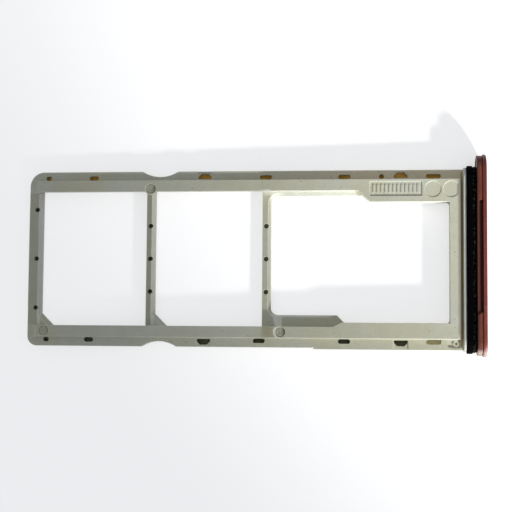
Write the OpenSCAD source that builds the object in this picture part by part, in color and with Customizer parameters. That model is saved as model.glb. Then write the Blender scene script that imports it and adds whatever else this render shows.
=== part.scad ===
// Card tray for a phone: a moulded ladder frame over a stamped steel insert,
// with a flange and a rubber seal behind a coloured door cap.
// X runs from the tray's tip to the door, Z is up, and the origin is at the middle
// of the footprint, on the surface that the door cap's lower edge stands on.

/* [Cards] */
// Length of a nano card, along the tray
nano_l = 8.8; // [8.4:0.1:9.2]
// Width of a nano card, across the tray
nano_w = 12.3; // [12:0.1:12.6]
// Cut corner of a nano card
nano_corner = 1.65; // [1.2:0.05:2]
// Length of the memory card
micro_l = 15; // [14.6:0.1:15.4]
// Width of the memory card's wide end
micro_w = 11; // [10.7:0.1:11.2]
// Width of the memory card's nose
micro_nose_w = 9.7; // [9.4:0.1:9.9]
// Thickness of the memory card
micro_t = 0.7; // [0.6:0.02:0.76]
// Play along the tray in a nano pocket
nano_play = 0.15; // [0.1:0.01:0.25]
// Play across the tray in a nano pocket
side_play = 0.1; // [0.06:0.01:0.2]
// Play along the tray in the memory card pocket
micro_play = 0.24; // [0.1:0.01:0.35]

/* [Tray body] */
// Thickness of the lower layer, which holds the nano pockets
strip_t = 0.78; // [0.74:0.01:0.9]
// Height of the rails above the lower layer
rail_t = 0.42; // [0.36:0.01:0.5]
// Wall between a nano pocket and the tray's long edge
side_wall = 1.06; // [1:0.02:1.3]
// How far the rails reach over a nano card
ledge_w = 0.65; // [0.5:0.01:0.8]
// How far the rails' feet stand in from the tray's long edge
rail_inset = 0.71; // [0.68:0.01:0.8]
// Draft of the rails' outer walls
rail_draft = 0.08; // [0.02:0.01:0.12]
// Width of the bar across the tip
tip_w = 1.05; // [0.95:0.01:1.3]
// How far the low pad stands out from the middle of the tip
tip_pad_t = 0.1; // [0.04:0.01:0.2]
// How much wider the right-hand edge is beside the memory card
edge_step = 0.12; // [0.04:0.01:0.2]
// Width of the divider between the nano pockets
divider_w = 0.68; // [0.62:0.01:0.9]
// Width of the divider before the memory card
shelf_w = 0.71; // [0.66:0.01:0.9]
// Width of the sloped side of each cross bar
bevel_w = 0.26; // [0.15:0.01:0.28]
// Radius of the tip's corner on the left of the nose
tip_r_left = 1.2; // [0.9:0.05:1.4]
// Radius of the tip's corner on the right of the nose
tip_r_right = 0.8; // [0.6:0.05:1.2]
// Length of the solid head behind the memory card
head_w = 0.86; // [0.8:0.01:1.2]
// Depth of the spring notches in the long edges
notch_depth = 0.5; // [0.3:0.02:0.55]
// Radius of the spring notches
notch_r = 2.8; // [2.2:0.1:3.5]
// Distance from the first divider to the middle of the spring notches
notch_from_divider = 1.1; // [0.6:0.1:2]

/* [Steel insert] */
// Thickness of the steel
insert_t = 0.2; // [0.12:0.01:0.25]
// Width of the steel in the bars across the tray
insert_bar_w = 0.36; // [0.3:0.01:0.4]
// Plastic between the steel and the tray's outer edges
insert_skin = 0.22; // [0.18:0.01:0.26]
// Plastic between the steel and a card pocket
pocket_skin = 0.12; // [0.08:0.01:0.18]
// Radius of the round holes that show the steel
pin_mark_r = 0.2; // [0.15:0.01:0.22]

/* [Flange and seal] */
// Thickness of the flange plate
flange_t = 0.25; // [0.2:0.01:0.4]
// Gap between the top plate and the flange plate
flange_gap = 0.2; // [0.12:0.01:0.4]
// How far the flange plate reaches past the tray's long edges
flange_past = 0.24; // [0.2:0.01:0.3]
// How far the flange plate rises past the tray's faces
flange_rise = 0.35; // [0.25:0.01:0.5]
// Depth of the seal, along the tray
seal_t = 0.81; // [0.55:0.01:0.95]
// How far the seal stands out past the flange plate, all round
seal_past = 0.15; // [0.05:0.01:0.25]
// Thickness of the seal's rubber round the neck
seal_wall = 0.6; // [0.5:0.01:0.65]

/* [Door cap] */
// Depth of the cap's front plate
cap_front_t = 0.36; // [0.3:0.01:0.6]
// Depth of the cap's back step
cap_back_t = 0.47; // [0.44:0.01:0.7]
// How far the back step stands in from the front plate
cap_step = 0.1; // [0.04:0.01:0.16]
// How far the cap reaches past the seal at its plain end and its long sides
cap_past = 0.25; // [0.2:0.01:0.5]
// How much the cap's face bulges
cap_crown = 0.05; // [0.01:0.01:0.1]
// Radius of the eject pin's hole
pin_hole_r = 0.42; // [0.36:0.01:0.46]
// Gap between the tray's long edge and the eject pin's path
pin_gap = 0.05; // [0.02:0.01:0.1]
// Wall between the eject pin's hole and the cap's end
pin_wall = 0.35; // [0.3:0.01:0.5]
// Width of the slot in the cap's upper side
cap_slot_w = 0.23; // [0.15:0.01:0.26]
// Length of the slot in the cap's upper side
cap_slot_l = 8.9; // [6:0.1:10]

/* [Hidden] */
eps = 0.01;
$fn = 48;

// Heights above the tray's underside
body_t = strip_t + rail_t;
mid_z = body_t / 2;
card_slack = 0.05;
shelf_z = body_t - micro_t - card_slack;
insert_z = (shelf_z - insert_t) / 2;
corner_ledge_z = shelf_z / 2;

// Half widths across the tray
pocket_y = (nano_w + side_play) / 2;
edge_y = pocket_y + side_wall;
rail_y = edge_y - rail_inset;
open_y = pocket_y - ledge_w;

// Stations along the tray, from the tip
nano_pocket_l = nano_l + nano_play;
nano_1_x = tip_w;
divider_x = nano_1_x + nano_pocket_l;
notch_x = divider_x + notch_from_divider;
nano_2_x = divider_x + divider_w;
shelf_x = nano_2_x + nano_pocket_l;
micro_x = shelf_x + shelf_w;
micro_end = shelf_x + micro_l + micro_play;
plate_end = micro_end + head_w;
flange_x = plate_end + flange_gap;
neck_x = flange_x + flange_t;
cap_x = neck_x + seal_t;
cap_front_x = cap_x + cap_back_t;
total_l = cap_front_x + cap_front_t;

// The flange, the seal and the cap: half lengths across the tray and half heights
flange_half_l = edge_y + flange_past;
flange_half_h = mid_z + flange_rise;
seal_half_l = flange_half_l + seal_past;
seal_half_h = flange_half_h + seal_past;
neck_half_l = seal_half_l - seal_wall;
neck_half_h = seal_half_h - seal_wall;
cap_half_h = seal_half_h + cap_past;
cap_h = 2 * cap_half_h;
cap_drop = cap_half_h - mid_z;

// The cap's far end reaches on past the seal, round the eject pin's hole beside the tray
pin_y = edge_y + pin_gap + pin_hole_r;
pin_relief = 0.17;
pin_relief_r = pin_hole_r + pin_relief;
cap_far_y = pin_y + pin_hole_r + pin_wall;
cap_near_y = seal_half_l + cap_past;
cap_l = cap_far_y + cap_near_y;
cap_offset = (cap_far_y - cap_near_y) / 2;

// The tongue that the cap is pushed on to, and the slot in the cap's upper side
tongue_t = 0.3;
tongue_play = 0.02;
tongue_skin = 0.12;
tongue_inset = 0.8;
tongue_half_l = neck_half_l - tongue_inset;
tongue_half_h = neck_half_h - tongue_skin;
cap_skin = 0.16;
cap_slot_depth = cap_half_h - tongue_half_h - tongue_play - cap_skin;
cap_slot_shift = 0.2;
cap_slot_from = cap_slot_shift - cap_slot_l / 2;
cap_lip_drop = 0.07;
cap_line_w = 0.06;
cap_groove_w = 0.06;
cap_groove_depth = 0.1;
cap_edge_r = 0.14;

// The memory card pocket: wide end towards the tip, nose towards the door
micro_slack = 0.1;
micro_y = (micro_w + micro_slack) / 2;
nose_width = micro_nose_w + micro_slack;
low_step = 0.35;
low_shoulder = 9.4;
high_shoulder = 7.35;
nose_low_y = low_step - micro_y;
nose_high_y = nose_low_y + nose_width;
shoulder_low = micro_y + nose_low_y;
shoulder_high = micro_y - nose_high_y;
wide_low_end = micro_end - low_shoulder;
wide_high_end = micro_end - high_shoulder;
top_ledge_w = 0.35;
low_ledge_w = 0.95;
low_ledge_past = 0.3;
ledge_ramp_turn = 20;
ledge_ramp_x = micro_x + 0.45;
ledge_ramp_l = 0.42;
open_r = 0.62;
nose_r = 0.25;
micro_low_y = low_ledge_w - micro_y;
micro_high_y = micro_y - top_ledge_w;

// The bevels on the cross bars: how high above the underside their feet lie
nano_bevel_foot = 0.27;
micro_bevel_foot = shelf_z / 4;

// The rails' ends, and their small drop beside the nano cards
rail_x = 0.42;
rail_drop = 0.08;
rail_drop_run = 1;

// The round marks and the slots that show the steel, each slot as [from the tip, length]
tip_mark_x = tip_w - 0.42;
tip_mark_pitch = 4.1;
bar_mark_pitch = 2.72;
mark_inset = 0.31;
divider_mark_x = divider_x + mark_inset;
shelf_mark_x = shelf_x + mark_inset;
slot_w = 0.36;
slot_y = rail_y + slot_w / 2;
slot_tip_x = nano_1_x + 0.54;
slot_micro_x = plate_end - 9.36;
slot_head_x = plate_end - 2.15;
left_slots = [[slot_tip_x, 0.5], [nano_1_x + 4.42, 0.81], [shelf_x + 0.29, 1], [slot_micro_x, 1],
    [slot_head_x, 1.2]];
right_slots = [[slot_tip_x, 0.5], [nano_1_x + 4.16, 0.81], [shelf_x - 0.22, 1], [slot_micro_x, 1],
    [slot_head_x, 1.2]];
keyed_slots = [nano_2_x + 4.15, plate_end - 4.79];
keyed_slot_l = 1.1;
keyed_slot_tip_l = 0.55;
keyed_slot_straight = 0.2;
keyed_slot_from = 0.05;
keyed_slot_depth = 0.5;
keyed_recess_l = 1.2;
keyed_recess_depth = 0.1;
left_round_x = plate_end - 6.34;

// The pad on the tip's wall, and the place where the right-hand edge steps out
tip_pad_from = -3.9;
tip_pad_to = 4.3;
tip_pad_h = 0.5;
edge_step_x = micro_x + 3.5;
edge_pit_r = 0.06;

// Marks of the mould: the gates, the ejector pins' discs and the sunk panel
gate_r = 0.42;
gate_depth = 0.14;
gate_lip = 0.06;
gate_pip_r = 0.08;
rail_middle_y = (open_y + rail_y - rail_draft) / 2;
rail_gate = [nano_1_x + 0.41, -rail_middle_y];
plate_gate = [shelf_x + 1.57, -rail_middle_y];
boss_gate = [divider_mark_x + 0.04, open_y + 0.25];
boss_wall = 0.1;
head_gate = [plate_end - 0.48, -(edge_y - 0.35)];
head_gate_l = 1.2;
head_gate_w = 0.56;
head_ring = [plate_end - 0.38, -(edge_y - 0.42)];
head_ring_r = 0.24;
head_ring_hole = 0.12;
disc_r = 0.66;
disc_depth = 0.05;
disc_y = rail_y - 0.92;
discs = [[plate_end - 2.2, disc_y], [plate_end - 0.73, disc_y]];
panel_l = 4.22;
panel_w = 1.18;
panel_depth = 0.08;
panel_x = plate_end - 7.29;
panel_y = rail_y - 1.46;
panel_margin = 0.15;
panel_ribs = 12;

// Puts tray coordinates, from the tip and the tray's underside, into the part's frame
module in_part_frame() {
    translate([(tip_pad_t - total_l) / 2, -cap_offset, cap_drop]) children();
}

// Points of an arc about a centre, from one angle to another
function arc(cx, cy, r, from, to, steps = 6) =
    [for (i = [0:steps]) let (a = from + (to - from) * i / steps) [cx + r * cos(a), cy + r * sin(a)]];

// A profile of [radius, height along X] pairs swept round a straight spine across the tray
module stadium_sweep(profile, half_l, half_h) {
    spine = half_l - half_h;
    closed = concat(profile, [[0, profile[len(profile) - 1][1]], [0, profile[0][1]]]);
    flipped = [for (i = [len(profile) - 1:-1:0]) [-profile[i][0], profile[i][1]]];
    // the straight middle
    rotate([0, 90, 0]) rotate([90, 0, 0])
        linear_extrude(2 * spine, center = true) polygon(concat(profile, flipped));
    // the round ends
    for (side = [0, 1]) mirror([0, side, 0]) translate([0, spine, 0])
        rotate([0, 90, 0]) rotate_extrude(angle = 180) polygon(closed);
}

// A plain plate with round ends, standing across the tray
module stadium_plate(half_l, half_h, t) {
    stadium_sweep([[half_h, 0], [half_h, t]], half_l, half_h);
}

// A slot with round ends, along X, cut from the height z upwards
module slot_cut(x, y, l, w, z, h) {
    translate([x, y, z]) linear_extrude(h) {
        square([l - w, w], center = true);
        for (side = [-1, 1]) translate([side * (l - w) / 2, 0]) circle(w / 2);
    }
}

// A slot that narrows towards the tray's edge, in a shallow recess that is open at the edge
module keyed_slot_cut(x, side, z, h) {
    inner = rail_y + keyed_slot_from;
    middle = inner + keyed_slot_straight;
    outer = inner + keyed_slot_depth;
    translate([x, 0, z]) linear_extrude(h) mirror([0, side > 0 ? 0 : 1]) polygon([
        [-keyed_slot_l / 2, inner], [keyed_slot_l / 2, inner], [keyed_slot_l / 2, middle],
        [keyed_slot_tip_l / 2, outer], [-keyed_slot_tip_l / 2, outer], [-keyed_slot_l / 2, middle]]);
    translate([x, side * (inner + edge_y / 2), strip_t - keyed_recess_depth + body_t / 2])
        cube([keyed_recess_l, edge_y, body_t], center = true);
}

// What rounds a corner of radius r away: a square less a quarter disc, at the corner [x, y]
module corner_cut(x, y, r, way_x, way_y) {
    translate([x, y]) mirror([way_x < 0 ? 1 : 0, 0]) mirror([0, way_y < 0 ? 1 : 0]) difference() {
        translate([-eps, -eps]) square(r + eps);
        translate([r, r]) circle(r);
    }
}

// Outline of the lower layer, drawn skin inside its true edge
module lower_outline(skin, end_x) {
    difference() {
        translate([skin, -edge_y + skin]) square([end_x - skin, 2 * (edge_y - skin)]);
        corner_cut(skin, edge_y - skin, tip_r_left - skin, 1, -1);
        corner_cut(skin, -edge_y + skin, tip_r_right - skin, 1, 1);
        for (side = [-1, 1]) translate([notch_x, side * (edge_y + notch_r - notch_depth)])
            circle(notch_r + skin - pocket_skin / 2);
    }
}

// A nano card's pocket, with the card's cut corner at the tip end
module nano_outline(x) {
    polygon([[x, pocket_y], [x + nano_pocket_l, pocket_y], [x + nano_pocket_l, -pocket_y],
        [x + nano_corner, -pocket_y], [x, nano_corner - pocket_y]]);
}

// The sloped side that a cross bar shows to a nano pocket at x
module nano_bevel(x) {
    slope = [[-bevel_w, strip_t + eps], [0, nano_bevel_foot], [bevel_w, nano_bevel_foot],
        [bevel_w, strip_t + eps]];
    corner_y = nano_corner - pocket_y;
    translate([x, pocket_y, 0]) rotate([90, 0, 0])
        linear_extrude(pocket_y - corner_y) polygon(slope);
    translate([x, corner_y, 0]) rotate([0, 0, 45]) translate([0, bevel_w * 0.4, 0]) rotate([90, 0, 0])
        linear_extrude(nano_corner * sqrt(2)) polygon(slope);
}

// Outline of the memory card's pocket in the top plate
module micro_recess_outline() {
    polygon([[shelf_x - eps, micro_y], [wide_high_end, micro_y],
        [wide_high_end + shoulder_high, nose_high_y], [micro_end, nose_high_y],
        [micro_end, nose_low_y], [wide_low_end + shoulder_low * 2, nose_low_y],
        [wide_low_end, -micro_y], [shelf_x - eps, -micro_y]]);
}

// Outline of the opening that goes right through under the memory card
module micro_opening_outline() {
    low_x = wide_low_end + low_ledge_past;
    step = micro_low_y - nose_low_y;
    difference() {
        polygon([[micro_x, micro_high_y], [wide_high_end + top_ledge_w, micro_high_y],
            [wide_high_end + shoulder_high, nose_high_y], [micro_end, nose_high_y],
            [micro_end, nose_low_y], [low_x + step, nose_low_y], [low_x, micro_low_y],
            [micro_x, micro_low_y]]);
        corner_cut(micro_x, micro_high_y, open_r, 1, -1);
        corner_cut(micro_x, micro_low_y, open_r, 1, 1);
        corner_cut(micro_end, nose_high_y, nose_r, -1, -1);
        corner_cut(micro_end, nose_low_y, nose_r, -1, 1);
    }
}

// The sloped mouth of that opening, at its tip end and round its two corners
module micro_bevel() {
    high_y = micro_high_y - open_r;
    low_y = micro_low_y + open_r;
    top = shelf_z + eps;
    translate([0, high_y, 0]) rotate([90, 0, 0]) linear_extrude(high_y - low_y)
        polygon([[micro_x, micro_bevel_foot], [micro_x + bevel_w, micro_bevel_foot],
            [micro_x + bevel_w, top], [micro_x - bevel_w, top]]);
    for (y = [high_y, low_y]) translate([micro_x + open_r, y, micro_bevel_foot])
        cylinder(h = top - micro_bevel_foot, r1 = open_r, r2 = open_r + bevel_w);
}

// The lower ledge of the memory card's pocket, with a ramp down to it from the divider
module corner_ledge_cut() {
    back = ledge_ramp_l * (body_t - corner_ledge_z) / (shelf_z - corner_ledge_z) - ledge_ramp_l;
    end_x = wide_low_end + shoulder_low * 2;
    long = end_x - ledge_ramp_x;
    intersection() {
        translate([0, 0, corner_ledge_z]) linear_extrude(body_t) polygon([
            [micro_x, -micro_y], [wide_low_end, -micro_y], [end_x, nose_low_y],
            [end_x, micro_low_y + eps], [micro_x, micro_low_y + eps]]);
        translate([ledge_ramp_x, -micro_y, 0]) rotate([0, 0, ledge_ramp_turn]) rotate([90, 0, 0])
            linear_extrude(4 * low_ledge_w, center = true) polygon([[ledge_ramp_l, corner_ledge_z],
                [ledge_ramp_l, corner_ledge_z - eps], [2 * long, corner_ledge_z - eps],
                [2 * long, body_t], [-back, body_t]]);
    }
}

// The lower layer, with its pockets, openings and bevels still to be cut
module lower_layer() {
    linear_extrude(strip_t) difference() {
        union() {
            lower_outline(0, flange_x + eps);
            translate([edge_step_x, -edge_y - edge_step]) square([flange_x - edge_step_x, edge_step + eps]);
        }
        translate([edge_step_x, -edge_y]) circle(edge_pit_r);
    }
    // the low pad on the tip's wall, sloped at its top
    translate([0, tip_pad_to, 0]) rotate([90, 0, 0]) linear_extrude(tip_pad_to - tip_pad_from)
        polygon([[eps, 0], [-tip_pad_t, 0], [-tip_pad_t, tip_pad_h], [0, tip_pad_h + tip_pad_t],
            [eps, tip_pad_h + tip_pad_t]]);
}

// The rails and the top plate: one drafted bar, open over the nano cards
module top_plate() {
    difference() {
        translate([rail_x, 0, strip_t - eps]) rotate([90, 0, 90]) linear_extrude(plate_end - rail_x)
            polygon([[-rail_y, 0], [rail_y, 0], [rail_y - rail_draft, rail_t + eps],
                [rail_draft - rail_y, rail_t + eps]]);
        // open between the rails
        translate([-eps, -open_y, 0]) cube([shelf_x + eps, 2 * open_y, body_t + eps]);
        // the rails' ends slope down to the tip
        translate([rail_x, 0, strip_t]) rotate([90, 0, 0]) linear_extrude(2 * edge_y, center = true)
            polygon([[-eps, eps], [-eps, 2 * rail_t], [rail_t, 2 * rail_t], [rail_t, rail_t]]);
    }
    translate([boss_gate[0], boss_gate[1], strip_t - eps])
        cylinder(h = rail_t + eps, r = gate_r + boss_wall);
}

// The rails are a little lower beside the nano cards than the plate beside the memory card
module rail_step_cut() {
    rotate([90, 0, 0]) linear_extrude(2 * edge_y, center = true)
        polygon([[-eps, body_t - rail_drop], [shelf_x, body_t - rail_drop],
            [shelf_x + rail_drop_run, body_t + eps], [-eps, body_t + eps]]);
}

// A gate mark: a dished hole with a ring and a pip left standing in it
module gate_cut(x, y, top) {
    translate([x, y, top - gate_depth]) difference() {
        cylinder(h = gate_depth + eps, r1 = gate_r - gate_lip, r2 = gate_r);
        difference() {
            translate([0, 0, -eps]) cylinder(h = gate_depth * 0.7, r = gate_r * 0.7);
            translate([0, 0, -2 * eps]) cylinder(h = gate_depth, r = gate_r * 0.5);
        }
        translate([0, 0, -eps]) cylinder(h = gate_depth * 0.6, r = gate_pip_r);
    }
}

// The sunk panel, with a row of plain ribs left standing in it
module panel_cut() {
    rib_pitch = (panel_l - 2 * panel_margin) / panel_ribs;
    translate([panel_x, panel_y, body_t - panel_depth]) difference() {
        cube([panel_l, panel_w, panel_depth + eps]);
        for (i = [0:panel_ribs - 1])
            translate([panel_margin + (i + 0.25) * rib_pitch, panel_w * 0.22, -eps])
                cube([rib_pitch * 0.45, panel_w * 0.56, panel_depth * 0.8]);
    }
}

// All the holes through the plastic that show the steel
module steel_windows() {
    top = insert_z + insert_t;
    marks = concat(
        [for (i = [-1:1]) [tip_mark_x, i * tip_mark_pitch]],
        [for (i = [-1:1]) [divider_mark_x, i * bar_mark_pitch]],
        [for (i = [-1:1]) [shelf_mark_x, i * bar_mark_pitch]]);
    for (m = marks) {
        translate([m[0], m[1], top - eps]) cylinder(h = body_t, r = pin_mark_r);
        translate([m[0], m[1], -eps]) cylinder(h = insert_z + 2 * eps, r = pin_mark_r);
    }
    for (s = left_slots) slot_cut(s[0], slot_y, s[1], slot_w, top - eps, body_t);
    for (s = right_slots) slot_cut(s[0], -slot_y, s[1], slot_w, top - eps, body_t);
    for (x = keyed_slots) for (side = [-1, 1]) keyed_slot_cut(x, side, top - eps, body_t);
    translate([left_round_x, slot_y, top - eps]) cylinder(h = body_t, r = pin_mark_r);
}

// The steel ladder that the plastic is moulded round
module insert_shape() {
    rail_in = pocket_y + pocket_skin;
    end_x = plate_end - insert_skin;
    head_x = end_x - insert_bar_w;
    tip_bar = tip_w - insert_skin;
    translate([0, 0, insert_z]) linear_extrude(insert_t) difference() {
        lower_outline(insert_skin, end_x);
        translate([tip_bar, -rail_in]) square([divider_mark_x - insert_bar_w / 2 - tip_bar, 2 * rail_in]);
        translate([divider_mark_x + insert_bar_w / 2, -rail_in])
            square([shelf_mark_x - divider_mark_x - insert_bar_w, 2 * rail_in]);
        translate([shelf_mark_x + insert_bar_w / 2, -rail_in])
            square([head_x - shelf_mark_x - insert_bar_w / 2, 2 * rail_in]);
    }
}

// The flange plate, the neck inside the seal, and the tongue that the cap is pushed on to
module flange_and_neck() {
    edge = 0.06;
    translate([flange_x, 0, mid_z]) {
        stadium_sweep([[flange_half_h - edge, 0], [flange_half_h, edge],
            [flange_half_h, flange_t - edge], [flange_half_h - edge, flange_t]],
            flange_half_l, flange_half_h);
        translate([flange_t - eps, 0, 0]) stadium_plate(neck_half_l, neck_half_h, seal_t + eps);
    }
    translate([cap_x - eps, -tongue_half_l, mid_z - tongue_half_h])
        cube([tongue_t + eps, 2 * tongue_half_l, 2 * tongue_half_h]);
}

// The round relief that keeps the eject pin's path clear, from one place along the tray to another
module pin_path(from_x, to_x, r) {
    translate([from_x, pin_y, mid_z]) rotate([0, 90, 0]) cylinder(h = to_x - from_x, r = r);
}

module tray_frame() color("#cfcdb8") in_part_frame() {
    difference() {
        union() {
            lower_layer();
            top_plate();
            flange_and_neck();
        }
        // the two nano pockets, open below
        for (x = [nano_1_x, nano_2_x]) {
            translate([0, 0, -eps]) linear_extrude(strip_t + eps) nano_outline(x);
            nano_bevel(x);
        }
        // the memory card's pocket, open above, and the opening under it
        translate([0, 0, shelf_z]) linear_extrude(body_t) micro_recess_outline();
        translate([0, 0, -eps]) linear_extrude(body_t) micro_opening_outline();
        micro_bevel();
        corner_ledge_cut();
        rail_step_cut();
        // marks of the mould
        for (g = [rail_gate, boss_gate]) gate_cut(g[0], g[1], body_t - rail_drop);
        gate_cut(plate_gate[0], plate_gate[1], body_t);
        slot_cut(head_gate[0], head_gate[1], head_gate_l, head_gate_w, strip_t - gate_depth, body_t);
        for (d = discs) translate([d[0], d[1], body_t - disc_depth]) cylinder(h = body_t, r = disc_r);
        panel_cut();
        steel_windows();
        insert_shape();
        pin_path(flange_x, neck_x + 1, pin_relief_r);
    }
    translate([head_ring[0], head_ring[1], strip_t - gate_depth - eps]) difference() {
        cylinder(h = gate_depth, r = head_ring_r);
        translate([0, 0, 2 * eps]) cylinder(h = gate_depth, r = head_ring_hole);
    }
}

module steel_insert() color("#8d8a80") in_part_frame() {
    insert_shape();
}

module seal_ring() color("#161514") in_part_frame() {
    lip = seal_t * 0.62;
    valley = 0.12;
    lip_r = 0.1;
    bead_r = 0.08;
    bead = lip + 0.12;
    profile = concat(
        [[seal_half_h - lip_r, 0]], arc(seal_half_h - lip_r, lip_r, lip_r, -60, 0, 3),
        arc(seal_half_h - lip_r, lip - lip_r, lip_r, 0, 90, 3),
        [[seal_half_h - valley, lip]],
        arc(seal_half_h - valley / 2 - bead_r, bead, bead_r, 0, 90, 3),
        [[seal_half_h - valley, bead + bead_r], [seal_half_h - valley, seal_t]]);
    difference() {
        translate([neck_x, 0, mid_z]) stadium_sweep(profile, seal_half_l, seal_half_h);
        translate([neck_x - eps, 0, mid_z]) stadium_plate(neck_half_l, neck_half_h, seal_t + 2 * eps);
        pin_path(neck_x - 1, cap_x + 1, pin_relief_r);
    }
}

module door_cap() color("#b4493c") in_part_frame() {
    r = cap_half_h;
    back_r = r - cap_step;
    face = cap_back_t + cap_front_t;
    round_off = 0.04;
    crown_steps = 4;
    crown = [for (i = [1:crown_steps]) let (s = 1 - i / crown_steps)
        [(r - cap_edge_r) * s, face - cap_crown * s * s]];
    profile = concat(
        [[back_r - round_off, 0], [back_r, round_off], [back_r, cap_back_t - cap_groove_w],
         [back_r - cap_groove_depth, cap_back_t - cap_groove_w], [back_r - cap_groove_depth, cap_back_t],
         [r - round_off, cap_back_t], [r, cap_back_t + round_off]],
        arc(r - cap_edge_r, face - cap_crown - cap_edge_r, cap_edge_r, 0, 90, 5), crown);
    slot_x = cap_x + cap_back_t - cap_slot_w;
    line_l = (cap_back_t - cap_slot_w) * 3;
    difference() {
        translate([cap_x, cap_offset, mid_z]) stadium_sweep(profile, cap_l / 2, r);
        pin_path(cap_x - 1, total_l + 1, pin_hole_r);
        // the pocket that takes the neck's tongue
        translate([cap_x - eps, -tongue_half_l - tongue_play, mid_z - tongue_half_h - tongue_play])
            cube([tongue_t + tongue_play + eps, 2 * (tongue_half_l + tongue_play),
                2 * (tongue_half_h + tongue_play)]);
        // the slot in the cap's upper side, its lowered lip and the slanted line at its end
        translate([slot_x, cap_slot_from, mid_z + r - cap_slot_depth])
            cube([cap_slot_w, cap_slot_l, cap_slot_depth + 1]);
        translate([cap_x - eps, cap_slot_from, mid_z + back_r - cap_lip_drop])
            cube([slot_x - cap_x + 2 * eps, cap_slot_l, 1]);
        translate([slot_x + cap_slot_w, cap_slot_from + cap_line_w / 2, mid_z + back_r - 2 * cap_lip_drop])
            rotate([0, 0, 215]) translate([0, -cap_line_w / 2, 0]) cube([line_l, cap_line_w, 1]);
    }
}

tray_frame();
steel_insert();
seal_ring();
door_cap();
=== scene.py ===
# %% [markdown]
# A phone's card tray, dressed for its picture
#
# The object is a slide-in card tray, about 38 mm long: a moulded plastic ladder with two small card
# pockets and one stepped pocket, a steel insert that shows through little windows, a black rubber
# seal and a coral door cap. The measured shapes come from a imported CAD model. This lesson rounds
# their edges as a mould would, gives each piece its finish, and sets up the light and the camera.

# %% Load the measured model
import math

import bmesh
import bpy
import mathutils
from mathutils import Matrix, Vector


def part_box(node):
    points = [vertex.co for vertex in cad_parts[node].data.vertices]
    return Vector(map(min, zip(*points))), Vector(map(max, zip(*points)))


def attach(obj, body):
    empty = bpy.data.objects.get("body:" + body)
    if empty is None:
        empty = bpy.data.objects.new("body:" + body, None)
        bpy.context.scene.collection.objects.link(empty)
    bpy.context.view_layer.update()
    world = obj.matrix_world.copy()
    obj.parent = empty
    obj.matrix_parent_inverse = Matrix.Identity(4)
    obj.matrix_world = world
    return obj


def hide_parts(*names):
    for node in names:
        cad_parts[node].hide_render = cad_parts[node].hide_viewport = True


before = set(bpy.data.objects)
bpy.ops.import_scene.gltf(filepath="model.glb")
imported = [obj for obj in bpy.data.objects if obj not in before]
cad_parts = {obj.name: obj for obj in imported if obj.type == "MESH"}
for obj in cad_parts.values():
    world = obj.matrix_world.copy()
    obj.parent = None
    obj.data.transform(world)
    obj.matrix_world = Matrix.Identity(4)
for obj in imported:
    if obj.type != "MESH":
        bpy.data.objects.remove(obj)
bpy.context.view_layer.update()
MM = 0.001
print("nodes:", sorted(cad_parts))

# %% [markdown]
# Where things are along the tray
#
# Finishes change at places that mean something: the seal's lip, the step in the cap, the gate
# where the plastic was shot into the mould. Each CAD node's box gives where its own places are
# counted from, so the patterns lie on the shapes that they belong to.

# %% Find the pieces' boxes in millimetres
def box_mm(node):
    """A CAD node's lowest and highest corner, in millimetres."""
    low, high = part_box(node)
    return [value / MM for value in low], [value / MM for value in high]


tray_low, tray_high = box_mm("tray_frame")
seal_low, seal_high = box_mm("seal_ring")
cap_low, cap_high = box_mm("door_cap")
print("the seal runs from", round(seal_low[0], 2), "to", round(seal_high[0], 2), "mm")

# %% [markdown]
# The camera first
#
# The tray was photographed from almost straight above, from a little right of and below its middle,
# with a long lens. That is why the walls that face the door and the walls under the upper rail show.
# The place and turn below were worked out from points of the tray whose real places are known.

# %% Set the camera over the tray
CAMERA_PLACE = (10.324, -6.849, 95.774)
CAMERA_TURN = (4.135, 6.047, 0.467)
FOCAL_PIXELS = 1156.9
PICTURE_PIXELS = 512
SENSOR_MM = 36.0
NEAREST_MM = 1.0
FARTHEST_MM = 5000.0

bpy.ops.object.select_all(action="DESELECT")
bpy.ops.object.camera_add(
    location=[value * MM for value in CAMERA_PLACE],
    rotation=[math.radians(value) for value in CAMERA_TURN],
)
camera = bpy.context.active_object
camera.name = "camera"
camera.data.sensor_width = SENSOR_MM
camera.data.lens = FOCAL_PIXELS / PICTURE_PIXELS * SENSOR_MM
camera.data.clip_start = NEAREST_MM * MM
camera.data.clip_end = FARTHEST_MM * MM
bpy.context.scene.camera = camera
print("lens:", round(camera.data.lens, 2), "mm")

# %% [markdown]
# Plain working helpers for the shapes
#
# A tool in Blender acts on everything that is selected, and the loaded nodes start out selected. So
# each step first clears the selection and then picks the one object it means.

# %% Select one object alone
def pick(thing):
    """Makes one object the only selected one, and the active one."""
    bpy.ops.object.select_all(action="DESELECT")
    thing.select_set(True)
    bpy.context.view_layer.objects.active = thing


def apply_all(thing):
    """Applies an object's modifiers, in order."""
    pick(thing)
    for name in [modifier.name for modifier in thing.modifiers]:
        bpy.ops.object.modifier_apply(modifier=name)


# %% [markdown]
# Cutting seams through the windows
#
# The CAD mesh is all triangles, and a bevel can't round a flat made of slivers. The flats have to be
# whole faces first. But one face can't have a hole in it, so a flat with a window is cut by a line
# straight through the window. Marked as a seam, that line stays when the triangles are joined.

# %% Cut seams across a piece
ACROSS = 0
ALONG = 1
SAME_POINT = 0.004 * MM


def cut_seams(axis, places):
    """Cuts the piece in edit mode at each place, in millimetres, and marks the cuts as seams."""
    for place in places:
        spot = [0.0, 0.0, 0.0]
        spot[axis] = place * MM
        way = [0.0, 0.0, 0.0]
        way[axis] = 1.0
        bpy.ops.mesh.select_all(action="SELECT")
        bpy.ops.mesh.bisect(plane_co=spot, plane_no=way, threshold=SAME_POINT)
        bpy.ops.mesh.mark_seam(clear=False)


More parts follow.
